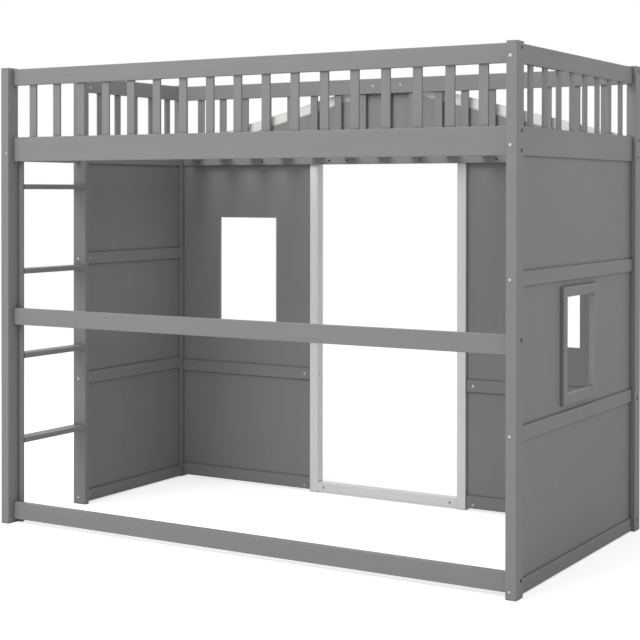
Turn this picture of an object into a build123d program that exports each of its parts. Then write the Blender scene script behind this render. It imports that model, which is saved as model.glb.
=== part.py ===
from build123d import *
import os

# House loft bed: four corner posts carry a slatted bed above a play space whose back wall is
# a little house front with a doorway, two windows and a gable. All sizes are millimetres.
# The origin is on the floor in the middle of the footprint, the long side runs along X, and
# the open front with the ladder at its left end faces -Y.

os.makedirs("parts", exist_ok=True)

# Overall size over the corner posts
bed_length = 1985.0
bed_width = 1086.0
bed_height = 1622.0

# Corner posts and the boards that run between them
post_width = 34.0
post_depth = 52.0
board = 20.0
edge_round = 2.0

# Set-back of the boards from the outer faces of the posts
front_setback = 26.0
back_setback = 17.0
end_setback = 12.0

# Heights of the rails and the levels of their undersides
guard_height = 58.0
guard_drop = 4.0
side_height = 86.0
side_level = 1290.0
front_mid_height = 59.0
front_mid_level = 708.0
front_bottom_height = 60.0
front_bottom_level = 14.0
cross_height = 44.0
upper_cross_level = 907.0
lower_cross_level = 452.5
end_bottom_height = 44.0
end_bottom_level = 2.0
back_mid_height = 45.0
back_mid_level = 441.0
back_bottom_height = 47.0
back_bottom_level = 8.0

# Flat balusters let into the guard rails and side rails
baluster_width = 31.0
baluster_thickness = 8.0
baluster_tenon = 10.0
tenon_play = 0.2
tenon_top_play = 0.5
long_baluster_count = 17
long_baluster_margin = 71.0
right_baluster_count = 8
right_baluster_margin = 83.0
left_baluster_count = 5
left_baluster_front_margin = 93.0
left_baluster_back_margin = 63.0

# Thin panels that sit in grooves of the rails, posts and door jambs
panel = 6.0
groove_depth = 8.0
groove_play = 0.2
panel_end_play = 1.0

# Ladder at the front of the left end
ladder_post_width = 57.0
ladder_post_depth = 22.0
ladder_post_start = 394.0
ladder_board_width = 52.0
ladder_board_thickness = 12.0
tread_thickness = 18.0
tread_round = 4.0
tread_count = 4
first_tread_top = 300.0
tread_rise = 303.0

# Window in the right end and its frame of strips on the outside
end_window_width = 232.0
end_window_height = 306.0
end_window_start = 420.0
end_window_level = 549.0
trim_width = 32.0
trim_thickness = 11.0
trim_joint_gap = 0.2

# Doorway and windows of the house front
door_width = 604.0
jamb_width = 36.0
jamb_depth = 42.0
sill_level = 4.0
back_window_margin = 178.0
back_window_width = 277.0
back_window_level = 626.0
back_window_height = 452.0

# Gable and the two sloping roof boards on the outside of the house front
gable_thickness = 8.0
gable_lift = 55.0
gable_peak_drop = 42.0
gable_end_gap = 122.5
gable_eave = 13.15
gable_tab_drop = 22.0
gable_tab_half_width = 78.0
roof_thickness = 9.0
roof_band = 93.0
roof_end_gap = 2.0

# Slats and the ledgers that carry them
ledger_width = 20.0
ledger_height = 28.0
ledger_margin = 51.0
long_ledger_length = 707.5
ledger_joint_gap = 0.4
slat_count = 13
slat_width = 58.0
slat_thickness = 14.0
slat_end_gap = 1.5
slat_inset = 5.0

# Connector bolts with barrel nuts
bolt_radius = 3.0
bolt_hole_play = 0.25
nut_thread_play = 0.05
head_radius = 6.0
head_height = 2.6
head_edge = 1.0
head_play = 0.3
head_recess = 3.1
hex_radius = 2.3
hex_depth = 1.6
nut_reach = 64.0
bolt_reach = 72.0
bolt_tip_play = 2.0
nut_radius = 5.0
nut_length = 15.0
nut_recess = 1.0
nut_play = 0.1
nut_slot_width = 1.4
nut_slot_depth = 1.2

# Wooden dowels beside the bolts
dowel_radius = 4.0
dowel_length = 30.0
dowel_play = 0.1
dowel_end_play = 0.5

# Countersunk wood screws
screw_radius = 2.0
screw_head_radius = 4.0
screw_length = 35.0
screw_tip = 4.0
screw_tip_radius = 0.5
cross_length = 4.2
cross_width = 0.9
cross_depth = 1.2
screw_play = 0.1
screw_tip_play = 0.5
tread_screw_offset = 14.0
ledger_screw_margin = 40.0
first_board_screw = 150.0
board_screw_rise = 500.0
board_screw_count = 3
peak_screw_inset = 18.0
peak_screw_rise = 2.0
roof_screw_inset = 20.0
roof_screw_pitch = 130.0
roof_screw_drop = 22.0

# Heights of the fasteners above or below the middle of their rail
guard_long_bolt = 14.0
guard_long_dowel = 2.0
guard_end_bolt = -10.0
guard_end_dowel = -21.0
side_long_bolt = 29.0
side_long_dowel = 12.0
side_end_bolt = -13.0
side_end_dowel = 0.0
front_mid_bolt = 15.0
front_mid_dowel = -14.0
front_bottom_bolt = 8.0
front_bottom_dowel = -6.0
back_bottom_bolt = 5.0

# Outer faces, and the strips of space that posts and boards fill, as low and high values
x_left = -bed_length / 2
x_right = bed_length / 2
y_front = -bed_width / 2
y_back = bed_width / 2
left_post = (x_left, x_left + post_width)
right_post = (x_right - post_width, x_right)
front_post = (y_front, y_front + post_depth)
back_post = (y_back - post_depth, y_back)
front_board = (y_front + front_setback, y_front + front_setback + board)
back_board = (y_back - back_setback - board, y_back - back_setback)
left_board = (x_left + end_setback, x_left + end_setback + board)
right_board = (x_right - end_setback - board, x_right - end_setback)
ladder_board = (front_post[1], front_post[1] + ladder_board_thickness)
ladder_post = (y_front + ladder_post_start, y_front + ladder_post_start + ladder_post_depth)
left_jamb = (-door_width / 2 - jamb_width, -door_width / 2)
right_jamb = (door_width / 2, door_width / 2 + jamb_width)
jamb_y = (y_back - jamb_depth, y_back)
gable_y = (back_board[1], back_board[1] + gable_thickness)
roof_y = (gable_y[1], gable_y[1] + roof_thickness)

# Clear spans between the uprights
long_span = (left_post[1], right_post[0])
right_span = (front_post[1], back_post[0])
left_span = (ladder_post[1], back_post[0])
head_span = (front_post[1], ladder_post[0])
back_left_span = (left_post[1], left_jamb[0])
back_right_span = (right_jamb[1], right_post[0])

# Levels of the rails
guard = (bed_height - guard_drop - guard_height, bed_height - guard_drop)
side = (side_level, side_level + side_height)
front_mid = (front_mid_level, front_mid_level + front_mid_height)
front_bottom = (front_bottom_level, front_bottom_level + front_bottom_height)
upper_cross = (upper_cross_level, upper_cross_level + cross_height)
lower_cross = (lower_cross_level, lower_cross_level + cross_height)
end_bottom = (end_bottom_level, end_bottom_level + end_bottom_height)
back_mid = (back_mid_level, back_mid_level + back_mid_height)
back_bottom = (back_bottom_level, back_bottom_level + back_bottom_height)
sill = (sill_level, sill_level + jamb_width)
ledger = (side_level, side_level + ledger_height)
slat_level = (ledger[1], ledger[1] + slat_thickness)

# The gable stands on the side rail's outer face, and its two slopes rise to the guard rail
gable_half_width = bed_length / 2 - gable_end_gap
gable_bottom = side_level + gable_lift
gable_peak = bed_height - gable_peak_drop
gable_tab_top = bed_height - gable_tab_drop
roof_slope = (gable_peak - gable_bottom - gable_eave) / gable_half_width


def middle(span):
    return (span[0] + span[1]) / 2


def centred(value, width):
    return (value - width / 2, value + width / 2)


def evenly(span, count, width, first_margin, last_margin):
    # centres of equal strips, with a clear margin before the first and after the last
    first_centre = span[0] + first_margin + width / 2
    last_centre = span[1] - last_margin - width / 2
    return [first_centre + (last_centre - first_centre) * i / (count - 1) for i in range(count)]


def facing(point, outward):
    # the plane on a face at a point, looking the way the face looks
    return Plane(origin=point, z_dir=outward)


# Ways that a face can look
to_left = (-1, 0, 0)
to_right = (1, 0, 0)
to_front = (0, -1, 0)
to_back = (0, 1, 0)
upward = (0, 0, 1)

# Middles of the boards, where all fasteners along them lie
front_y = middle(front_board)
back_y = middle(back_board)
left_x = middle(left_board)
right_x = middle(right_board)


# A bolted joint is the plane on the outer face of an upright where the bolt enters. Its
# normal looks out of the upright, and its x direction is the way the rail's inner face looks.
def long_joints(heights, y, inner):
    # bolts through the left and the right posts into the ends of a rail along the bed
    left = [Plane(origin=(x_left, y, z), x_dir=inner, z_dir=to_left) for z in heights]
    right = [Plane(origin=(x_right, y, z), x_dir=inner, z_dir=to_right) for z in heights]
    return left, right


def end_joints(height, x, inner, start):
    # bolts through the front and the back uprights into the ends of a rail across the bed
    front = [Plane(origin=(x, start, height), x_dir=inner, z_dir=to_front)]
    back = [Plane(origin=(x, y_back, height), x_dir=inner, z_dir=to_back)]
    return front, back


# A dowel is the plane on the inner face of an upright, looking into the rail
def long_dowels(height, y):
    return [facing((left_post[1], y, height), to_right)], [facing((right_post[0], y, height), to_left)]


def end_dowels(height, x, start):
    return [facing((x, start, height), to_back)], [facing((x, back_post[0], height), to_front)]


# Bolts and dowels of the rails along the bed, each as a left and a right list
guard_bolt_heights = [middle(guard) + guard_long_bolt]
side_bolt_heights = [middle(side) - side_long_bolt, middle(side) + side_long_bolt]
front_mid_heights = [middle(front_mid) + front_mid_bolt]
front_bottom_heights = [middle(front_bottom) + front_bottom_bolt]
back_bottom_heights = [middle(back_bottom) + back_bottom_bolt]
front_guard_joints = long_joints(guard_bolt_heights, front_y, to_back)
front_side_joints = long_joints(side_bolt_heights, front_y, to_back)
front_mid_joints = long_joints(front_mid_heights, front_y, to_back)
front_bottom_joints = long_joints(front_bottom_heights, front_y, to_back)
back_guard_joints = long_joints(guard_bolt_heights, back_y, to_front)
back_side_joints = long_joints(side_bolt_heights, back_y, to_front)
back_mid_joints = long_joints([middle(back_mid)], back_y, to_front)
back_bottom_joints = long_joints(back_bottom_heights, back_y, to_front)
front_guard_dowels = long_dowels(middle(guard) + guard_long_dowel, front_y)
front_side_dowels = long_dowels(middle(side) + side_long_dowel, front_y)
front_mid_dowels = long_dowels(middle(front_mid) + front_mid_dowel, front_y)
front_bottom_dowels = long_dowels(middle(front_bottom) + front_bottom_dowel, front_y)
back_guard_dowels = long_dowels(middle(guard) + guard_long_dowel, back_y)
back_side_dowels = long_dowels(middle(side) + side_long_dowel, back_y)

# Bolts and dowels of the rails across the bed, each as a front and a back list
end_bolt_heights = [
    middle(guard) + guard_end_bolt,
    middle(side) + side_end_bolt,
    middle(upper_cross),
    middle(lower_cross),
    middle(end_bottom),
]
right_joints = [end_joints(z, right_x, to_left, y_front) for z in end_bolt_heights]
left_joints = [end_joints(z, left_x, to_right, ladder_post[0]) for z in end_bolt_heights]
head_joints = end_joints(end_bolt_heights[1], left_x, to_right, y_front)[0]
right_guard_dowels = end_dowels(middle(guard) + guard_end_dowel, right_x, front_post[1])
right_side_dowels = end_dowels(middle(side) + side_end_dowel, right_x, front_post[1])
left_guard_dowels = end_dowels(middle(guard) + guard_end_dowel, left_x, ladder_post[1])
left_side_dowels = end_dowels(middle(side) + side_end_dowel, left_x, ladder_post[1])[1]
head_dowels = end_dowels(middle(side) + side_end_dowel, left_x, front_post[1])[0]

# The mid rails of the house front are bolted from inside the doorway too, and the jambs are
# doweled to the side rail above them
jamb_joints = [
    Plane(origin=(left_jamb[1], back_y, middle(back_mid)), x_dir=to_front, z_dir=to_right),
    Plane(origin=(right_jamb[0], back_y, middle(back_mid)), x_dir=to_front, z_dir=to_left),
]
jamb_dowels = [facing((middle(jamb), back_y, side[0]), upward) for jamb in (left_jamb, right_jamb)]

# A stud joins two rails from both sides of an upright. It is the plane across the middle of
# the upright, with the same x direction as a bolted joint.
ladder_stud = Plane(
    origin=(left_x, middle(ladder_post), end_bolt_heights[1]), x_dir=to_right, z_dir=to_back
)
jamb_studs = [
    Plane(origin=(middle(jamb), back_y, middle(sill)), x_dir=to_front, z_dir=to_right)
    for jamb in (left_jamb, right_jamb)
]

# A wood screw is the plane on the face that its head lies in
tread_tops = [first_tread_top + tread_rise * i for i in range(tread_count)]
tread_screw_x = [x_left + ladder_post_width / 2 + way * tread_screw_offset for way in (-1, 1)]
tread_post_screws = [
    [facing((x, ladder_post[1], top - tread_thickness / 2), to_back) for x in tread_screw_x]
    for top in tread_tops
]
tread_board_screws = [
    [facing((x, ladder_board[0], top - tread_thickness / 2), to_front) for x in tread_screw_x]
    for top in tread_tops
]
board_screws = [
    facing((middle(left_post), ladder_board[1], first_board_screw + board_screw_rise * i), to_back)
    for i in range(board_screw_count)
]

# Each ledger is two long pieces and a short one, end to end along its side rail
ledger_start = left_post[1] + ledger_margin
ledger_end = right_post[0] - ledger_margin
ledger_spans = [
    (ledger_start, ledger_start + long_ledger_length - ledger_joint_gap),
    (ledger_start + long_ledger_length, ledger_start + 2 * long_ledger_length - ledger_joint_gap),
    (ledger_start + 2 * long_ledger_length, ledger_end),
]
ledger_screw_x = [middle(span) for span in ledger_spans[:2]]
for span in ledger_spans:
    ledger_screw_x += [span[0] + ledger_screw_margin, span[1] - ledger_screw_margin]
front_ledger = (front_board[1], front_board[1] + ledger_width)
back_ledger = (back_board[0] - ledger_width, back_board[0])
front_ledger_screws = [facing((x, front_ledger[1], middle(ledger)), to_back) for x in ledger_screw_x]
back_ledger_screws = [facing((x, back_ledger[0], middle(ledger)), to_front) for x in ledger_screw_x]

slat_x = evenly((ledger_start, ledger_end), slat_count, slat_width, slat_inset, slat_inset)
slat_y = (front_board[1] + slat_end_gap, back_board[0] - slat_end_gap)
slat_screws = [
    facing((x, middle(y), slat_level[1]), upward) for x in slat_x for y in (front_ledger, back_ledger)
]

# The gable and the roof boards are screwed from inside, through the guard rail and side rail
peak_screw_x = gable_tab_half_width - peak_screw_inset
peak_screw_z = middle(guard) + peak_screw_rise
peak_screws = [[facing((way * peak_screw_x, back_board[0], peak_screw_z), to_front)] for way in (-1, 1)]
roof_screw_x = gable_half_width - roof_screw_inset
roof_screw_z = side[1] - roof_screw_drop
roof_screws = [
    [facing((way * (roof_screw_x - roof_screw_pitch * i), back_board[0], roof_screw_z), to_front)
     for i in range(2)]
    for way in (-1, 1)
]

# Places of the balusters
long_places = evenly(
    long_span, long_baluster_count, baluster_width, long_baluster_margin, long_baluster_margin
)
right_places = evenly(
    right_span, right_baluster_count, baluster_width, right_baluster_margin, right_baluster_margin
)
left_places = evenly(
    left_span,
    left_baluster_count,
    baluster_width,
    left_baluster_front_margin,
    left_baluster_back_margin,
)
under_guard = (guard[0], guard[0] + baluster_tenon + tenon_top_play)
over_side = (side[1] - baluster_tenon, side[1])

# Grooves for the thin panels
groove = panel + 2 * groove_play
left_groove = centred(left_x, groove)
right_groove = centred(right_x, groove)
back_groove = centred(back_y, groove)


def groove_over(rail):
    return (rail[1] - groove_depth, rail[1])


def groove_under(rail):
    return (rail[0], rail[0] + groove_depth)


def block(x, y, z, mode=Mode.ADD):
    # the block between three pairs of faces, added to the piece in hand or cut from it
    with BuildSketch(Plane.XY.offset(z[0])) as outline:
        with Locations((middle(x), middle(y))):
            Rectangle(x[1] - x[0], y[1] - y[0])
    extrude(outline.sketch, amount=z[1] - z[0], mode=mode)


def soften(piece, axis, radius=edge_round):
    # rounds the long edges of a straight piece, before anything is cut into it
    fillet(piece.edges().filter_by(axis), radius)


def drill_upright(joints):
    # bolt holes with a counterbore for each head
    with Locations(*joints):
        CounterBoreHole(bolt_radius + bolt_hole_play, head_radius + head_play, head_recess)


def nut_axis(joint, distance=-nut_reach):
    # the plane where a bolt crosses its barrel nut, looking along the nut to the inner face
    return facing(joint.offset(distance).origin, joint.x_dir)


def drill_nut(axis_plane, face_distance=board / 2):
    # the barrel nut's hole, from the inner face to just past the bolt
    with Locations(axis_plane.offset(face_distance)):
        Hole(nut_radius + nut_play, face_distance + nut_recess + nut_length - board / 2)


def drill_rail_end(joints, upright):
    # the holes for bolts and barrel nuts in the end of a rail that meets an upright
    for joint in joints:
        with Locations(joint.offset(-upright)):
            Hole(bolt_radius + bolt_hole_play, bolt_reach + bolt_tip_play - upright)
        drill_nut(nut_axis(joint))


def drill_stud_end(stud, way, upright, face_distance=board / 2):
    # the same for a stud, on one side of its upright
    face = stud.offset(way * upright / 2)
    with Locations(facing(face.origin, stud.z_dir * -way)):
        Hole(bolt_radius + bolt_hole_play, bolt_reach + bolt_tip_play - upright)
    drill_nut(nut_axis(stud, way * (nut_reach - upright / 2)), face_distance)


def drill_dowels(planes, into_rail):
    # half of each dowel lies in the rail and half in the upright
    way = -1 if into_rail else 1
    with Locations(*[facing(plane.origin, plane.z_dir * way) for plane in planes]):
        Hole(dowel_radius + dowel_play, dowel_length / 2 + dowel_end_play)


def drill_screw_heads(planes):
    # countersunk clearance holes through the piece under the heads
    with Locations(*planes):
        CounterSinkHole(
            screw_radius + screw_play, screw_head_radius + 2 * screw_play, counter_sink_angle=90
        )


def drill_pilots(planes, through):
    # pilot holes in a piece that starts at a distance behind the heads
    with Locations(*[plane.offset(-through) for plane in planes]):
        Hole(screw_radius + screw_play, screw_length + screw_tip_play - through)


def cut_pockets(x_places, y_places, x_size, y_size, z):
    # shallow mortises for the ends of the balusters
    with BuildSketch(Plane.XY.offset(z[0])) as outline:
        with Locations(*[(x, y) for x in x_places for y in y_places]):
            Rectangle(x_size + 2 * tenon_play, y_size + 2 * tenon_play)
    extrude(outline.sketch, amount=z[1] - z[0], mode=Mode.SUBTRACT)


def keep(piece, name):
    piece.part.label = name
    export_step(piece.part, f"parts/{name}.step")


# Corner posts: square timber from the floor to just above the guard rails
def corner_post(name, x, y, joints, dowels, grooves, screws=()):
    with BuildPart() as post:
        block(x, y, (0, bed_height))
        soften(post, Axis.Z)
        chamfer(post.faces().sort_by(Axis.Z)[-1].edges(), edge_round / 2)
        drill_upright(joints)
        drill_dowels(dowels, into_rail=False)
        for groove_x, groove_y, groove_z in grooves:
            block(groove_x, groove_y, groove_z, Mode.SUBTRACT)
        if screws:
            drill_pilots(screws, ladder_board_thickness)
    keep(post, name)


def gather(pairs, which):
    # the left or front lists, or the right or back lists, of several rails
    return [item for pair in pairs for item in pair[which]]


front_rails = [front_guard_joints, front_side_joints, front_mid_joints, front_bottom_joints]
back_rails = [back_guard_joints, back_side_joints, back_mid_joints, back_bottom_joints]
front_dowels = [front_guard_dowels, front_side_dowels, front_mid_dowels, front_bottom_dowels]
back_dowels = [back_guard_dowels, back_side_dowels]
right_dowels = [right_guard_dowels, right_side_dowels]
front_end_groove = (front_post[1] - groove_depth, front_post[1])
back_end_groove = (back_post[0], back_post[0] + groove_depth)
left_end_groove = (left_post[1] - groove_depth, left_post[1])
right_end_groove = (right_post[0], right_post[0] + groove_depth)
end_groove_z = (groove_over(end_bottom)[0], groove_under(side)[1])
back_groove_z = (groove_over(back_bottom)[0], groove_under(side)[1])

corner_post(
    "post_front_left",
    left_post,
    front_post,
    gather(front_rails, 0) + head_joints,
    gather(front_dowels, 0) + head_dowels,
    [],
    board_screws,
)
corner_post(
    "post_front_right",
    right_post,
    front_post,
    gather(front_rails, 1) + gather(right_joints, 0),
    gather(front_dowels, 1) + gather(right_dowels, 0),
    [(right_groove, front_end_groove, end_groove_z)],
)
corner_post(
    "post_back_left",
    left_post,
    back_post,
    gather(back_rails, 0) + gather(left_joints, 1),
    gather(back_dowels, 0) + left_guard_dowels[1] + left_side_dowels,
    [(left_groove, back_end_groove, end_groove_z), (left_end_groove, back_groove, back_groove_z)],
)
corner_post(
    "post_back_right",
    right_post,
    back_post,
    gather(back_rails, 1) + gather(right_joints, 1),
    gather(back_dowels, 1) + gather(right_dowels, 1),
    [(right_groove, back_end_groove, end_groove_z), (right_end_groove, back_groove, back_groove_z)],
)

# Ladder: a wide thin post, a thin board against the corner post, and treads between the two
ladder_x = (x_left, x_left + ladder_post_width)
with BuildPart() as ladder_upright:
    block(ladder_x, ladder_post, (0, guard[1]))
    soften(ladder_upright, Axis.Z)
    drill_upright([joint for i, pair in enumerate(left_joints) if i != 1 for joint in pair[0]])
    drill_dowels(left_guard_dowels[0], into_rail=False)
    with Locations(ladder_stud.offset(ladder_post_depth / 2)):
        Hole(bolt_radius + bolt_hole_play, ladder_post_depth)
    ladder_groove = (ladder_post[1] - groove_depth, ladder_post[1])
    block(left_groove, ladder_groove, end_groove_z, Mode.SUBTRACT)
    drill_screw_heads(sum(tread_post_screws, []))
keep(ladder_upright, "ladder_post")

with BuildPart() as ladder_side_board:
    block((x_left, x_left + ladder_board_width), ladder_board, (0, side[0]))
    soften(ladder_side_board, Axis.Z)
    drill_screw_heads(sum(tread_board_screws, []))
    drill_screw_heads(board_screws)
keep(ladder_side_board, "ladder_side_board")

for number, top in enumerate(tread_tops):
    with BuildPart() as tread:
        block(ladder_x, (ladder_board[1], ladder_post[0]), (top - tread_thickness, top))
        soften(tread, Axis.Y, tread_round)
        drill_pilots(tread_post_screws[number], ladder_post_depth)
        drill_pilots(tread_board_screws[number], ladder_board_thickness)
    keep(tread, f"ladder_tread_{number + 1}")

# The end side rail runs on over the ladder, between the corner post and the ladder post
with BuildPart() as ladder_head_rail:
    block(left_board, head_span, side)
    soften(ladder_head_rail, Axis.Y)
    drill_rail_end(head_joints, post_depth)
    drill_dowels(head_dowels, into_rail=True)
    drill_stud_end(ladder_stud, -1, ladder_post_depth)
keep(ladder_head_rail, "ladder_head_rail")


# Rails along the bed, from post to post
def long_rail(name, y, z, joints, pegs, pockets=None, ledger_screws=(), gable_screws=(),
              panel_spans=()):
    with BuildPart() as rail:
        block(long_span, y, z)
        soften(rail, Axis.X)
        drill_rail_end(joints[0] + joints[1], post_width)
        drill_dowels(pegs, into_rail=True)
        if pockets:
            cut_pockets(long_places, [middle(y)], baluster_width, baluster_thickness, pockets)
        if ledger_screws:
            drill_pilots(ledger_screws, ledger_width)
        if gable_screws:
            drill_screw_heads(gable_screws)
        for span in panel_spans:
            block(span, back_groove, groove_under(z), Mode.SUBTRACT)
    keep(rail, name)


long_rail("front_guard_rail", front_board, guard, front_guard_joints,
          front_guard_dowels[0] + front_guard_dowels[1], under_guard)
long_rail("front_side_rail", front_board, side, front_side_joints,
          front_side_dowels[0] + front_side_dowels[1], over_side, front_ledger_screws)
long_rail("front_mid_rail", front_board, front_mid, front_mid_joints,
          front_mid_dowels[0] + front_mid_dowels[1])
long_rail("front_bottom_rail", front_board, front_bottom, front_bottom_joints,
          front_bottom_dowels[0] + front_bottom_dowels[1])
long_rail("back_guard_rail", back_board, guard, back_guard_joints,
          back_guard_dowels[0] + back_guard_dowels[1], under_guard,
          gable_screws=sum(peak_screws, []))

# The side rail at the back stands on the jambs too, and holds the tops of the back panels,
# whose corners reach over the jambs by the depth of the groove
long_rail("back_side_rail", back_board, side, back_side_joints,
          back_side_dowels[0] + back_side_dowels[1] + jamb_dowels, over_side,
          back_ledger_screws, sum(roof_screws, []),
          [(left_post[1], left_jamb[0] + groove_depth), (right_jamb[1] - groove_depth, right_post[0])])


# Rails across the bed, grooved where a panel meets them
def end_rail(name, x, span, z, front_bolts, start_upright, back_bolts, dowels=(), pockets=None,
             places=(), grooves=()):
    with BuildPart() as rail:
        block(x, span, z)
        soften(rail, Axis.Y)
        if front_bolts:
            drill_rail_end(front_bolts, start_upright)
        else:
            drill_stud_end(ladder_stud, 1, start_upright)
        drill_rail_end(back_bolts, post_depth)
        if dowels:
            drill_dowels(dowels, into_rail=True)
        if pockets:
            cut_pockets([middle(x)], places, baluster_thickness, baluster_width, pockets)
        for level in grooves:
            block(centred(middle(x), groove), span, level, Mode.SUBTRACT)
    keep(rail, name)


for end, x, span, joints, start, places, guard_pegs, side_pegs in [
    ("right", right_board, right_span, right_joints, post_depth, right_places,
     right_guard_dowels[0] + right_guard_dowels[1], right_side_dowels[0] + right_side_dowels[1]),
    ("left", left_board, left_span, left_joints, ladder_post_depth, left_places,
     left_guard_dowels[0] + left_guard_dowels[1], left_side_dowels),
]:
    side_bolts = joints[1][0] if end == "right" else []
    end_rail(f"{end}_guard_rail", x, span, guard, joints[0][0], start, joints[0][1], guard_pegs,
             under_guard, places)
    end_rail(f"{end}_side_rail", x, span, side, side_bolts, start, joints[1][1], side_pegs,
             over_side, places, [groove_under(side)])
    end_rail(f"{end}_upper_cross_rail", x, span, upper_cross, joints[2][0], start, joints[2][1],
             grooves=[groove_under(upper_cross), groove_over(upper_cross)])
    end_rail(f"{end}_lower_cross_rail", x, span, lower_cross, joints[3][0], start, joints[3][1],
             grooves=[groove_under(lower_cross), groove_over(lower_cross)])
    end_rail(f"{end}_bottom_rail", x, span, end_bottom, joints[4][0], start, joints[4][1],
             grooves=[groove_over(end_bottom)])


# Rails of the house front, between a corner post and a door jamb
def back_rail(name, span, z, joints, jamb_joint, stud, way, grooves):
    with BuildPart() as rail:
        block(span, back_board, z)
        soften(rail, Axis.X)
        drill_rail_end(joints, post_width)
        if jamb_joint:
            drill_rail_end([jamb_joint], jamb_width)
        if stud:
            drill_stud_end(stud, way, jamb_width)
        for level in grooves:
            block(span, back_groove, level, Mode.SUBTRACT)
    keep(rail, name)


for end, (part_of_house, span, way) in enumerate(
    [("back_left", back_left_span, -1), ("back_right", back_right_span, 1)]
):
    back_rail(f"{part_of_house}_mid_rail", span, back_mid, back_mid_joints[end], jamb_joints[end],
              None, way, [groove_under(back_mid), groove_over(back_mid)])
    back_rail(f"{part_of_house}_bottom_rail", span, back_bottom, back_bottom_joints[end], None,
              jamb_studs[end], way, [groove_over(back_bottom)])


# Balusters: flat strips with both ends in the mortises
def balusters(name, x_places, y_places, x_size, y_size):
    with BuildPart() as strips:
        with BuildSketch(Plane.XY.offset(side[1] - baluster_tenon)):
            with Locations(*[(x, y) for x in x_places for y in y_places]):
                Rectangle(x_size, y_size)
        extrude(amount=guard[0] - side[1] + 2 * baluster_tenon)
        soften(strips, Axis.Z, edge_round / 2)
    keep(strips, name)


balusters("front_balusters", long_places, [front_y], baluster_width, baluster_thickness)
balusters("back_balusters", long_places, [back_y], baluster_width, baluster_thickness)
balusters("right_balusters", [right_x], right_places, baluster_thickness, baluster_width)
balusters("left_balusters", [left_x], left_places, baluster_thickness, baluster_width)


# Thin panels in the grooves of the rails below and above and of the uprights beside them
def in_grooves(span):
    return (span[0] - groove_depth + panel_end_play, span[1] + groove_depth - panel_end_play)


def between_rails(lower, upper):
    return (lower[1] - groove_depth, upper[0] + groove_depth - panel_end_play)


def end_panel(name, x, span, lower, upper, window=None):
    with BuildPart() as sheet:
        block(centred(x, panel), in_grooves(span), between_rails(lower, upper))
        if window:
            block(centred(x, panel), window[0], window[1], Mode.SUBTRACT)
    keep(sheet, name)


def back_panel(name, span, lower, upper, window=None):
    with BuildPart() as sheet:
        block(in_grooves(span), centred(back_y, panel), between_rails(lower, upper))
        if window:
            block(window[0], centred(back_y, panel), window[1], Mode.SUBTRACT)
    keep(sheet, name)


end_window = (
    (y_front + end_window_start, y_front + end_window_start + end_window_width),
    (end_window_level, end_window_level + end_window_height),
)
back_window_z = (back_window_level, back_window_level + back_window_height)
left_window_x = (left_post[1] + back_window_margin, left_post[1] + back_window_margin + back_window_width)
right_window_x = (
    right_post[0] - back_window_margin - back_window_width,
    right_post[0] - back_window_margin,
)
end_panel("right_panel_top", right_x, right_span, upper_cross, side)
end_panel("right_panel_window", right_x, right_span, lower_cross, upper_cross, end_window)
end_panel("right_panel_bottom", right_x, right_span, end_bottom, lower_cross)
end_panel("left_panel_top", left_x, left_span, upper_cross, side)
end_panel("left_panel_middle", left_x, left_span, lower_cross, upper_cross)
end_panel("left_panel_bottom", left_x, left_span, end_bottom, lower_cross)
back_panel("back_left_panel_window", back_left_span, back_mid, side, (left_window_x, back_window_z))
back_panel("back_right_panel_window", back_right_span, back_mid, side, (right_window_x, back_window_z))
back_panel("back_left_panel_bottom", back_left_span, back_bottom, back_mid)
back_panel("back_right_panel_bottom", back_right_span, back_bottom, back_mid)


# Window frames: two long upright strips with two shorter ones butted between them, glued to
# the outer face of the panel. A strip is given along the wall, then up.
def frame_strips(opening, level):
    upright = (level[0] - trim_width, level[1] + trim_width)
    between = (opening[0] + trim_joint_gap, opening[1] - trim_joint_gap)
    return [
        ((opening[0] - trim_width, opening[0]), upright),
        ((opening[1], opening[1] + trim_width), upright),
        (between, (level[0] - trim_width, level[0])),
        (between, (level[1], level[1] + trim_width)),
    ]


with BuildPart() as right_window_trim:
    for along, level in frame_strips(*end_window):
        block((right_x + panel / 2, right_x + panel / 2 + trim_thickness), along, level)
keep(right_window_trim, "right_window_trim")

with BuildPart() as back_window_trims:
    for opening in (left_window_x, right_window_x):
        for along, level in frame_strips(opening, back_window_z):
            block(along, (back_y + panel / 2, back_y + panel / 2 + trim_thickness), level)
keep(back_window_trims, "back_window_trims")

# Door frame: two jambs and a sill of the same square timber
for end, name in enumerate(["door_jamb_left", "door_jamb_right"]):
    jamb = (left_jamb, right_jamb)[end]
    jamb_groove = ((jamb[0], jamb[0] + groove_depth), (jamb[1] - groove_depth, jamb[1]))[end]
    with BuildPart() as door_jamb:
        block(jamb, jamb_y, (0, side[0]))
        soften(door_jamb, Axis.Z)
        drill_upright([jamb_joints[end]])
        drill_dowels([jamb_dowels[end]], into_rail=False)
        with Locations(jamb_studs[end].offset(jamb_width / 2)):
            Hole(bolt_radius + bolt_hole_play, jamb_width)
        block(jamb_groove, back_groove, back_groove_z, Mode.SUBTRACT)
    keep(door_jamb, name)

with BuildPart() as door_sill:
    block((left_jamb[1], right_jamb[0]), jamb_y, sill)
    soften(door_sill, Axis.X)
    drill_stud_end(jamb_studs[0], 1, jamb_width, back_y - jamb_y[0])
    drill_stud_end(jamb_studs[1], -1, jamb_width, back_y - jamb_y[0])
keep(door_sill, "door_sill")


# Gable and roof boards, drawn on the wall and given their thickness
def on_back_wall(y, points):
    with BuildSketch(Plane.XZ.offset(-y[1])) as outline:
        with BuildLine():
            Polyline(*points, close=True)
        make_face()
    extrude(outline.sketch, amount=y[1] - y[0])


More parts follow.
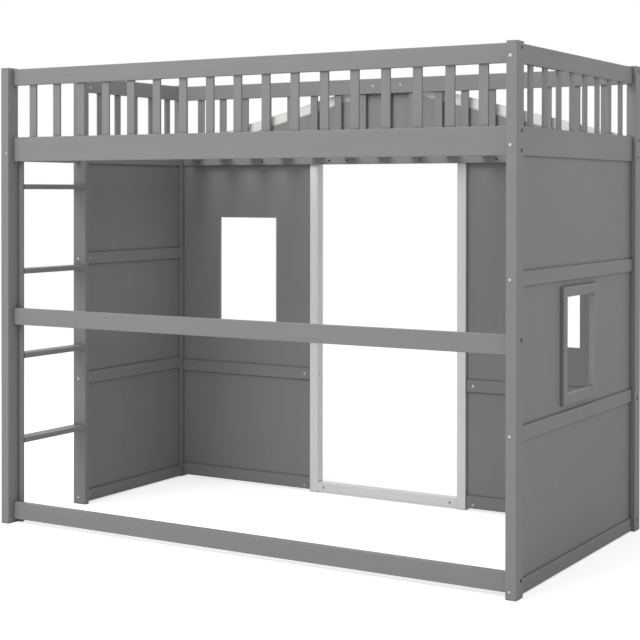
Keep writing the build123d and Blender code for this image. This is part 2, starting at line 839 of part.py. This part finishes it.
gable_slope_points = [
    (way * distance, gable_peak - roof_slope * distance)
    for way, distance in [
        (-1, gable_half_width),
        (-1, gable_tab_half_width),
        (1, gable_tab_half_width),
        (1, gable_half_width),
    ]
]
with BuildPart() as gable_panel:
    on_back_wall(
        gable_y,
        [
            (-gable_half_width, gable_bottom),
            gable_slope_points[0],
            gable_slope_points[1],
            (-gable_tab_half_width, gable_tab_top),
            (gable_tab_half_width, gable_tab_top),
            gable_slope_points[2],
            gable_slope_points[3],
            (gable_half_width, gable_bottom),
        ],
    )
    drill_pilots(sum(peak_screws, []) + sum(roof_screws, []), board)
keep(gable_panel, "gable_panel")

roof_half = right_post[0] - roof_end_gap
for end, (name, way) in enumerate([("roof_board_left", -1), ("roof_board_right", 1)]):
    with BuildPart() as roof_board:
        on_back_wall(
            roof_y,
            [
                (0, bed_height),
                (way * roof_half, bed_height - roof_slope * roof_half),
                (way * roof_half, bed_height - roof_slope * roof_half - roof_band),
                (0, bed_height - roof_band),
            ],
        )
        drill_pilots(peak_screws[end] + roof_screws[end], board + gable_thickness)
    keep(roof_board, name)

# Ledgers screwed to the side rails, and the slats screwed down on them
with BuildPart() as slat_ledgers:
    for y in (front_ledger, back_ledger):
        for span in ledger_spans:
            block(span, y, ledger)
    soften(slat_ledgers, Axis.X)
    drill_screw_heads(front_ledger_screws + back_ledger_screws)
    drill_pilots(slat_screws, slat_thickness)
keep(slat_ledgers, "slat_ledgers")

with BuildPart() as slats:
    with BuildSketch(Plane.XY.offset(slat_level[0])):
        with Locations(*[(x, middle(slat_y)) for x in slat_x]):
            Rectangle(slat_width, slat_y[1] - slat_y[0])
    extrude(amount=slat_thickness)
    soften(slats, Axis.Y)
    drill_screw_heads(slat_screws)
keep(slats, "slats")

# Connector bolts: a low head with a hexagon socket on a straight shank
all_joints = (
    gather(front_rails + back_rails + right_joints, 0)
    + gather(front_rails + back_rails + right_joints + left_joints, 1)
    + [joint for i, pair in enumerate(left_joints) if i != 1 for joint in pair[0]]
    + head_joints
    + jamb_joints
)
with BuildPart() as frame_bolts:
    with Locations(*[joint.offset(-head_recess) for joint in all_joints]):
        Cone(head_radius, head_radius - head_edge, head_height, align=(Align.CENTER, Align.CENTER, Align.MIN))
        Cylinder(bolt_radius, bolt_reach - head_recess, align=(Align.CENTER, Align.CENTER, Align.MAX))
    with BuildSketch(*[joint.offset(head_height - head_recess) for joint in all_joints]):
        RegularPolygon(hex_radius, 6)
    extrude(amount=-hex_depth, mode=Mode.SUBTRACT)
keep(frame_bolts, "frame_bolts")

# Studs, threaded at both ends, through the ladder post and the feet of the jambs
with BuildPart() as joining_studs:
    for stud, upright in [(ladder_stud, ladder_post_depth)] + [(stud, jamb_width) for stud in jamb_studs]:
        with Locations(stud):
            Cylinder(bolt_radius, 2 * bolt_reach - upright)
keep(joining_studs, "joining_studs")

# Barrel nuts: cylinders across the rails with a threaded cross hole, and a slot in the end
# that shows, for turning the hole towards the bolt
nut_axes = [(nut_axis(joint), joint.offset(-nut_reach)) for joint in all_joints]
for stud, upright in [(ladder_stud, ladder_post_depth)] + [(stud, jamb_width) for stud in jamb_studs]:
    for way in (-1, 1):
        distance = way * (nut_reach - upright / 2)
        nut_axes.append((nut_axis(stud, distance), stud.offset(distance)))
with BuildPart() as barrel_nuts:
    with Locations(*[across.offset(board / 2 - nut_recess) for across, along in nut_axes]):
        Cylinder(nut_radius, nut_length, align=(Align.CENTER, Align.CENTER, Align.MAX))
    with BuildSketch(*[across.offset(board / 2 - nut_recess) for across, along in nut_axes]):
        Rectangle(2 * nut_radius, nut_slot_width)
    extrude(amount=-nut_slot_depth, mode=Mode.SUBTRACT)
    with Locations(*[along for across, along in nut_axes]):
        Cylinder(bolt_radius + nut_thread_play, 3 * nut_radius, mode=Mode.SUBTRACT)
keep(barrel_nuts, "barrel_nuts")

# Wooden dowels, half in each piece
all_dowels = (
    gather(front_dowels + back_dowels + right_dowels + [left_guard_dowels], 0)
    + gather(front_dowels + back_dowels + right_dowels + [left_guard_dowels], 1)
    + left_side_dowels
    + head_dowels
    + jamb_dowels
)
with BuildPart() as dowels:
    with Locations(*all_dowels):
        Cylinder(dowel_radius, dowel_length)
keep(dowels, "dowels")

# Countersunk wood screws with a cross recess
all_screws = (
    sum(tread_post_screws + tread_board_screws + peak_screws + roof_screws, [])
    + board_screws
    + front_ledger_screws
    + back_ledger_screws
    + slat_screws
)
with BuildPart() as wood_screws:
    with Locations(*all_screws):
        Cone(screw_radius, screw_head_radius, screw_head_radius - screw_radius,
             align=(Align.CENTER, Align.CENTER, Align.MAX))
        Cylinder(screw_radius, screw_length - screw_tip, align=(Align.CENTER, Align.CENTER, Align.MAX))
    with Locations(*[plane.offset(screw_tip - screw_length) for plane in all_screws]):
        Cone(screw_tip_radius, screw_radius, screw_tip, align=(Align.CENTER, Align.CENTER, Align.MAX))
    with BuildSketch(*all_screws):
        Rectangle(cross_length, cross_width)
        Rectangle(cross_width, cross_length)
    extrude(amount=-cross_depth, mode=Mode.SUBTRACT)
keep(wood_screws, "wood_screws")
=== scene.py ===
import bpy
import bmesh
import math
from mathutils import Matrix, Vector

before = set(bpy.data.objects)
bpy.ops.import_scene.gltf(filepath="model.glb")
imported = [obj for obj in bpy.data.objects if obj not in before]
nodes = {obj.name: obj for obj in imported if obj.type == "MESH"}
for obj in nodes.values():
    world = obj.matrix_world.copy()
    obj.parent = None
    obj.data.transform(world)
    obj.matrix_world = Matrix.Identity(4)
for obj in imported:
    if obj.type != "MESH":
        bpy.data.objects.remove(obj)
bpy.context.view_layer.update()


# Four corner posts of finger-jointed pine, planed, rounded along their edges and sprayed with
# two coats of satin gray paint. The rails are bolted to them from outside, with the heads of
# the bolts in open counterbores.
gray_paint = (0.262, 0.270, 0.266)

# How the wood shows through a coat of paint: sizes of the grain along and across it, of the
# cloudy coverage and of the orange peel, per metre, and how much each one changes the tone
fibre_scales = (3.0, 150.0)
ring_scales = (0.9, 22.0)
cloud_scale = 3.5
peel_scale = 700.0
fibre_dark, fibre_light = 0.035, 0.03
ring_contrast = 0.02
cloud_contrast = 0.015

# Width of the lighter edges (rubbed wear and a painted highlight) and of the painted shade in the
# seams, in metres, and how strong they are
edge_width = 0.0022
edge_wear_highlight_lift = 0.10
edge_gloss = 0.08
seam_shade_width = 0.010
painted_seam_shade = 0.62

# Relief of the grain and of the orange peel, and the depth in metres that it stands for
grain_relief, grain_depth = 0.35, 0.0005
ring_relief = 1.2
peel_relief, peel_depth = 0.12, 0.0002


def paint_coat(name, paint, along, grain=1.0, sheen=0.47):
    # Sprayed paint on planed wood: the grain runs along one axis and telegraphs through the
    # coat, the film has a fine orange peel, it is thinner and a little rubbed on the edges, which
    # are lightened for rubbed wear and as a painted highlight, and the narrow seams between two
    # pieces are darkened with painted shade.
    coat = bpy.data.materials.new(name)
    coat.use_nodes = True
    tree = coat.node_tree
    link = tree.links.new
    shader = tree.nodes["Principled BSDF"]
    place = tree.nodes.new("ShaderNodeTexCoord").outputs["Object"]

    def stretched(long_scale, cross_scale):
        stretch = tree.nodes.new("ShaderNodeMapping")
        stretch.inputs["Scale"].default_value = [
            long_scale if axis == along else cross_scale for axis in "XYZ"
        ]
        link(place, stretch.inputs["Vector"])
        return stretch.outputs["Vector"]

    def noise(vector, scale, detail, rough):
        texture = tree.nodes.new("ShaderNodeTexNoise")
        texture.inputs["Scale"].default_value = scale
        texture.inputs["Detail"].default_value = detail
        texture.inputs["Roughness"].default_value = rough
        link(vector, texture.inputs["Vector"])
        return texture.outputs["Fac"]

    def between(value, low, high, new_low, new_high):
        change = tree.nodes.new("ShaderNodeMapRange")
        limits = {"From Min": low, "From Max": high, "To Min": new_low, "To Max": new_high}
        for socket, number in limits.items():
            change.inputs[socket].default_value = number
        link(value, change.inputs["Value"])
        return change.outputs["Result"]

    def spread(value, new_low, new_high):
        # the usual range of a noise texture, turned into another range
        return between(value, 0.3, 0.7, new_low, new_high)

    def combine(kind, first, second):
        maths = tree.nodes.new("ShaderNodeMath")
        maths.operation = kind
        for socket, value in zip(maths.inputs, (first, second)):
            if isinstance(value, float):
                socket.default_value = value
            else:
                link(value, socket)
        return maths.outputs[0]

    def relief(height, strength, depth):
        bump = tree.nodes.new("ShaderNodeBump")
        bump.inputs["Strength"].default_value = strength
        bump.inputs["Distance"].default_value = depth
        link(height, bump.inputs["Height"])
        return bump

    fibres = noise(stretched(*fibre_scales), 1.0, 5.0, 0.62)
    rings = noise(stretched(*ring_scales), 1.0, 3.0, 0.5)
    cloud = noise(place, cloud_scale, 2.0, 0.5)
    peel = noise(place, peel_scale, 2.0, 0.5)

    # the edges: lighter for rubbed wear and as a painted highlight, found from a bevel normal
    edge = tree.nodes.new("ShaderNodeBevel")
    edge.samples = 4
    edge.inputs["Radius"].default_value = edge_width
    flat = tree.nodes.new("ShaderNodeNewGeometry")
    turn = tree.nodes.new("ShaderNodeVectorMath")
    turn.operation = "DOT_PRODUCT"
    link(edge.outputs["Normal"], turn.inputs[0])
    link(flat.outputs["True Normal"], turn.inputs[1])
    edge_wear_and_highlight = between(turn.outputs["Value"], 0.99, 0.86, 0.0, 1.0)
    edge_wear_and_highlight = combine("MULTIPLY", edge_wear_and_highlight, between(fibres, 0.35, 0.65, 0.35, 1.0))
    # painted shade: ambient occlusion darkens the colour in the seams and corners between pieces
    seam_shade_ao = tree.nodes.new("ShaderNodeAmbientOcclusion")
    seam_shade_ao.samples = 8
    seam_shade_ao.inputs["Distance"].default_value = seam_shade_width

    tone = combine("MULTIPLY",
                   spread(fibres, 1.0 - fibre_dark * grain, 1.0 + fibre_light * grain),
                   spread(rings, 1.0 - ring_contrast * grain, 1.0 + ring_contrast * grain))
    tone = combine("MULTIPLY", tone, spread(cloud, 1.0 - cloud_contrast, 1.0 + cloud_contrast))
    # rubbed wear and a painted highlight lighten the edges
    tone = combine("ADD", tone, combine("MULTIPLY", edge_wear_and_highlight, edge_wear_highlight_lift))
    # painted shade darkens the colour in the seams
    tone = combine("MULTIPLY", tone, between(seam_shade_ao.outputs["AO"], 0.45, 0.95, painted_seam_shade, 1.0))
    shade = tree.nodes.new("ShaderNodeVectorMath")
    shade.operation = "SCALE"
    shade.inputs[0].default_value = paint
    link(tone, shade.inputs["Scale"])
    link(shade.outputs["Vector"], shader.inputs["Base Color"])

    rough = combine("ADD", spread(cloud, sheen - 0.03, sheen + 0.04), spread(fibres, -0.02, 0.03))
    rough = combine("SUBTRACT", rough, combine("MULTIPLY", edge_wear_and_highlight, edge_gloss))
    link(rough, shader.inputs["Roughness"])
    shader.inputs["Specular IOR Level"].default_value = 0.42

    wood = combine("ADD", fibres, combine("MULTIPLY", rings, ring_relief))
    wood_bump = relief(wood, grain_relief * grain, grain_depth)
    peel_bump = relief(peel, peel_relief, peel_depth)
    link(wood_bump.outputs["Normal"], peel_bump.inputs["Normal"])
    link(peel_bump.outputs["Normal"], shader.inputs["Normal"])
    return coat


def dress(material, *names):
    # gives one finish to all faces of the named pieces
    for name in names:
        mesh = nodes[name].data
        mesh.materials.clear()
        mesh.materials.append(material)


upright_paint = paint_coat("gray_paint_upright", gray_paint, "Z")
dress(upright_paint, "post_front_left", "post_front_right", "post_back_left", "post_back_right")


# Ladder: a wide thin post and a board screwed to the corner post, with four treads between them
# whose edges are rounded over for bare feet. A piece of side rail closes the ladder at the top.
tread_paint = paint_coat("gray_paint_across", gray_paint, "Y")
dress(upright_paint, "ladder_post", "ladder_side_board")
dress(tread_paint, "ladder_tread_1", "ladder_tread_2", "ladder_tread_3", "ladder_tread_4",
      "ladder_head_rail")


# Rails along the bed: planed pine boards on edge, bolted between the posts. There is a guard
# rail and a side rail in front and behind, and a middle and a bottom rail frame the open front.
long_paint = paint_coat("gray_paint_lengthwise", gray_paint, "X")
dress(long_paint, "front_guard_rail", "front_side_rail", "front_mid_rail", "front_bottom_rail",
      "back_guard_rail", "back_side_rail")


# Balusters: flat strips of pine with softened edges, which stand with both ends in mortises of
# the guard rails and side rails.
strip_paint = paint_coat("gray_paint_strips", gray_paint, "Z", grain=1.2)
dress(strip_paint, "front_balusters", "back_balusters", "left_balusters", "right_balusters")


# Panelled ends: cross rails of the same pine between the posts, grooved for thin plywood panels
# whose faces are smoother than the solid wood round them. One panel has a window, with a frame
# of strips glued round it outside.
panel_paint = paint_coat("gray_paint_panels", gray_paint, "Z", grain=0.55, sheen=0.5)
for end in ("left", "right"):
    dress(tread_paint, f"{end}_guard_rail", f"{end}_side_rail", f"{end}_upper_cross_rail",
          f"{end}_lower_cross_rail", f"{end}_bottom_rail")
    dress(panel_paint, f"{end}_panel_top", f"{end}_panel_bottom")
dress(panel_paint, "left_panel_middle", "right_panel_window")
dress(upright_paint, "right_window_trim")


# House front: plywood panels with windows on both sides of a doorway, in short rails that are
# bolted to the posts and to the door frame. Flat strips are glued round the windows outside,
# and a thin gable panel stands behind the balusters.
dress(long_paint, "back_left_mid_rail", "back_right_mid_rail", "back_left_bottom_rail",
      "back_right_bottom_rail")
dress(panel_paint, "back_left_panel_window", "back_right_panel_window",
      "back_left_panel_bottom", "back_right_panel_bottom", "gable_panel")
dress(upright_paint, "back_window_trims")


# Door frame and roof boards: two jambs and a sill of planed pine, sprayed white and bolted from
# inside the doorway, and two white boards that slope over the gable.
white_paint = (0.91, 0.91, 0.902)
white_upright = paint_coat("white_paint_upright", white_paint, "Z", grain=0.8)
white_long = paint_coat("white_paint_lengthwise", white_paint, "X", grain=0.8)
dress(white_upright, "door_jamb_left", "door_jamb_right")
dress(white_long, "door_sill", "roof_board_left", "roof_board_right")


# Slats, ledgers and dowels: thirteen bare pine slats lie across the bed on painted ledgers and
# are screwed down at both ends. The dowels in the rail ends are of the same bare wood.
dress(long_paint, "slat_ledgers")
pine = (0.66, 0.56, 0.42)
bare_pine = paint_coat("bare_pine", pine, "Y", grain=2.2, sheen=0.6)
dress(bare_pine, "slats", "dowels")


# Fasteners of zinc plated steel: bolts with hexagon sockets, barrel nuts that show in the inner
# faces of the rails, and countersunk wood screws. The plating is slightly mottled.
zinc_dark = (0.58, 0.58, 0.57, 1.0)
zinc_light = (0.80, 0.80, 0.80, 1.0)
# black as painted shade, for heads that sit dark in shaded holes
shade_black = (0.03, 0.03, 0.03, 1.0)


def plated_steel(name):
    steel = bpy.data.materials.new(name)
    steel.use_nodes = True
    tree = steel.node_tree
    link = tree.links.new
    shader = tree.nodes["Principled BSDF"]
    shader.inputs["Metallic"].default_value = 1.0
    place = tree.nodes.new("ShaderNodeTexCoord")
    speckle = tree.nodes.new("ShaderNodeTexNoise")
    speckle.inputs["Scale"].default_value = 900.0
    speckle.inputs["Detail"].default_value = 3.0
    tint = tree.nodes.new("ShaderNodeValToRGB")
    tint.color_ramp.elements[0].color = zinc_dark
    tint.color_ramp.elements[1].color = zinc_light
    dull = tree.nodes.new("ShaderNodeMapRange")
    dull.inputs["To Min"].default_value = 0.26
    dull.inputs["To Max"].default_value = 0.42
    bump = tree.nodes.new("ShaderNodeBump")
    bump.inputs["Strength"].default_value = 0.1
    bump.inputs["Distance"].default_value = 0.0001
    link(place.outputs["Object"], speckle.inputs["Vector"])
    link(speckle.outputs["Fac"], tint.inputs["Fac"])
    link(tint.outputs["Color"], shader.inputs["Base Color"])
    link(speckle.outputs["Fac"], dull.inputs["Value"])
    link(dull.outputs["Result"], shader.inputs["Roughness"])
    link(speckle.outputs["Fac"], bump.inputs["Height"])
    link(bump.outputs["Normal"], shader.inputs["Normal"])
    return steel


def paint_shade_black(steel, axis, level, reach):
    # painted shade: black instead of zinc, on what lies within reach of a level on either side of
    # the middle of the bed
    tree = steel.node_tree
    link = tree.links.new
    shader = tree.nodes["Principled BSDF"]
    zinc_tint = shader.inputs["Base Color"].links[0].from_socket
    place = tree.nodes.new("ShaderNodeTexCoord")
    split = tree.nodes.new("ShaderNodeSeparateXYZ")
    distance = tree.nodes.new("ShaderNodeMath")
    distance.operation = "ABSOLUTE"
    near = tree.nodes.new("ShaderNodeMath")
    near.operation = "COMPARE"
    near.inputs[1].default_value = level
    near.inputs[2].default_value = reach
    blend = tree.nodes.new("ShaderNodeMix")
    blend.data_type = "RGBA"
    amount, plated, shade_colour = (blend.inputs[i] for i in (0, 6, 7))
    shade_colour.default_value = shade_black
    link(place.outputs["Object"], split.inputs["Vector"])
    link(split.outputs[axis], distance.inputs[0])
    link(distance.outputs[0], near.inputs[0])
    link(near.outputs[0], amount)
    link(zinc_tint, plated)
    link(blend.outputs[2], shader.inputs["Base Color"])


# The bolt heads in the two end faces of the bed and the screws in the ledgers are painted black,
# as painted shade for their shaded holes. Their places are in metres, from the middle of the bed
# and from the floor.
end_face_heads = (0.990, 0.004)
ledger_screw_heads = (1.304, 0.018)
zinc = plated_steel("zinc_plated_steel")
bolt_steel = plated_steel("bolt_steel")
paint_shade_black(bolt_steel, "X", *end_face_heads)
screw_steel = plated_steel("screw_steel")
paint_shade_black(screw_steel, "Z", *ledger_screw_heads)
dress(zinc, "barrel_nuts", "joining_studs")
dress(bolt_steel, "frame_bolts")
dress(screw_steel, "wood_screws")


# Where it stands: a plain pale floor in a plain white room. The floor is a large sheet just
# under the feet, and glows a little towards the camera, so that it is as white as the room.
floor_size = 9.0
floor_gap = 0.0005
floor_white = (0.88, 0.88, 0.88, 1.0)
floor_glow = 0.58
floor_mesh = bmesh.new()
bmesh.ops.create_grid(floor_mesh, x_segments=8, y_segments=8, size=floor_size)
floor_data = bpy.data.meshes.new("floor")
floor_mesh.to_mesh(floor_data)
floor_mesh.free()
floor = bpy.data.objects.new("floor", floor_data)
floor.location.z = -floor_gap
bpy.context.scene.collection.objects.link(floor)
pale = bpy.data.materials.new("pale_floor")
pale.use_nodes = True
tree = pale.node_tree
surface = tree.nodes["Principled BSDF"]
surface.inputs["Base Color"].default_value = floor_white
surface.inputs["Roughness"].default_value = 0.9
surface.inputs["Specular IOR Level"].default_value = 0.0
rays = tree.nodes.new("ShaderNodeLightPath")
glow = tree.nodes.new("ShaderNodeEmission")
seen = tree.nodes.new("ShaderNodeMath")
seen.operation = "MULTIPLY"
seen.inputs[1].default_value = floor_glow
both = tree.nodes.new("ShaderNodeAddShader")
tree.links.new(rays.outputs["Is Camera Ray"], seen.inputs[0])
tree.links.new(seen.outputs[0], glow.inputs["Strength"])
tree.links.new(surface.outputs["BSDF"], both.inputs[0])
tree.links.new(glow.outputs["Emission"], both.inputs[1])
tree.links.new(both.outputs["Shader"], tree.nodes["Material Output"].inputs["Surface"])
floor_data.materials.append(pale)


# The white room: it lights the bed evenly and dimly, and is full white where it is seen
# directly, in a reflection or through something clear.
room_white = (1.0, 1.0, 1.0, 1.0)
room_light = 0.45
room_seen = 1.0
world = bpy.data.worlds.new("white_room")
bpy.context.scene.world = world
world.use_nodes = True
tree = world.node_tree
room = tree.nodes["Background"]
room.inputs["Color"].default_value = room_white
room.inputs["Strength"].default_value = room_light
rays = tree.nodes.new("ShaderNodeLightPath")
white = tree.nodes.new("ShaderNodeBackground")
white.inputs["Color"].default_value = room_white
white.inputs["Strength"].default_value = room_seen
clear = tree.nodes.new("ShaderNodeMath")
clear.operation = "MAXIMUM"
shiny = tree.nodes.new("ShaderNodeMath")
shiny.operation = "MAXIMUM"
choice = tree.nodes.new("ShaderNodeMixShader")
tree.links.new(rays.outputs["Is Camera Ray"], clear.inputs[0])
tree.links.new(rays.outputs["Is Transmission Ray"], clear.inputs[1])
tree.links.new(clear.outputs[0], shiny.inputs[0])
tree.links.new(rays.outputs["Is Glossy Ray"], shiny.inputs[1])
tree.links.new(shiny.outputs[0], choice.inputs["Fac"])
tree.links.new(room.outputs["Background"], choice.inputs[1])
tree.links.new(white.outputs["Background"], choice.inputs[2])
tree.links.new(choice.outputs["Shader"], tree.nodes["World Output"].inputs["Surface"])


def soft_lamp(name, place, aim, width, power):
    # a square softbox of a width in metres and a power in watts, turned to a point on the bed
    lamp_data = bpy.data.lights.new(name, "AREA")
    lamp_data.shape = "SQUARE"
    lamp_data.size = width
    lamp_data.energy = power
    lamp = bpy.data.objects.new(name, lamp_data)
    lamp.location = place
    lamp.rotation_euler = (Vector(aim) - Vector(place)).to_track_quat("-Z", "Y").to_euler()
    bpy.context.scene.collection.objects.link(lamp)


soft_lamp("front_softbox", place=(-2.0, -4.8, 5.8), aim=(0.0, 0.0, 0.9), width=4.4, power=240.0)
soft_lamp("top_softbox", place=(0.5, -0.6, 5.5), aim=(0.0, 0.0, 0.8), width=4.6, power=75.0)


# A nearly level camera 1.2 m above the floor, off the front corner at the panelled end. Its lens
# is long and shifted down, which keeps all posts upright in the picture.
lens_yaw, lens_pitch, lens_roll = 0.53872, -0.00863, 0.00114
lens_place = (2.71071, -4.5227, 1.18436)
camera_data = bpy.data.cameras.new("camera")
camera_data.lens = 83.886
camera_data.sensor_width = 36.0
camera_data.shift_y = -0.18083
camera_data.clip_end = 100.0
camera = bpy.data.objects.new("camera", camera_data)
bpy.context.scene.collection.objects.link(camera)
camera.matrix_world = (
    Matrix.Translation(lens_place)
    @ Matrix.Rotation(lens_yaw, 4, "Z")
    @ Matrix.Rotation(math.pi / 2 + lens_pitch, 4, "X")
    @ Matrix.Rotation(lens_roll, 4, "Z")
)
bpy.context.scene.camera = camera
bpy.context.scene.view_settings.view_transform = "Standard"
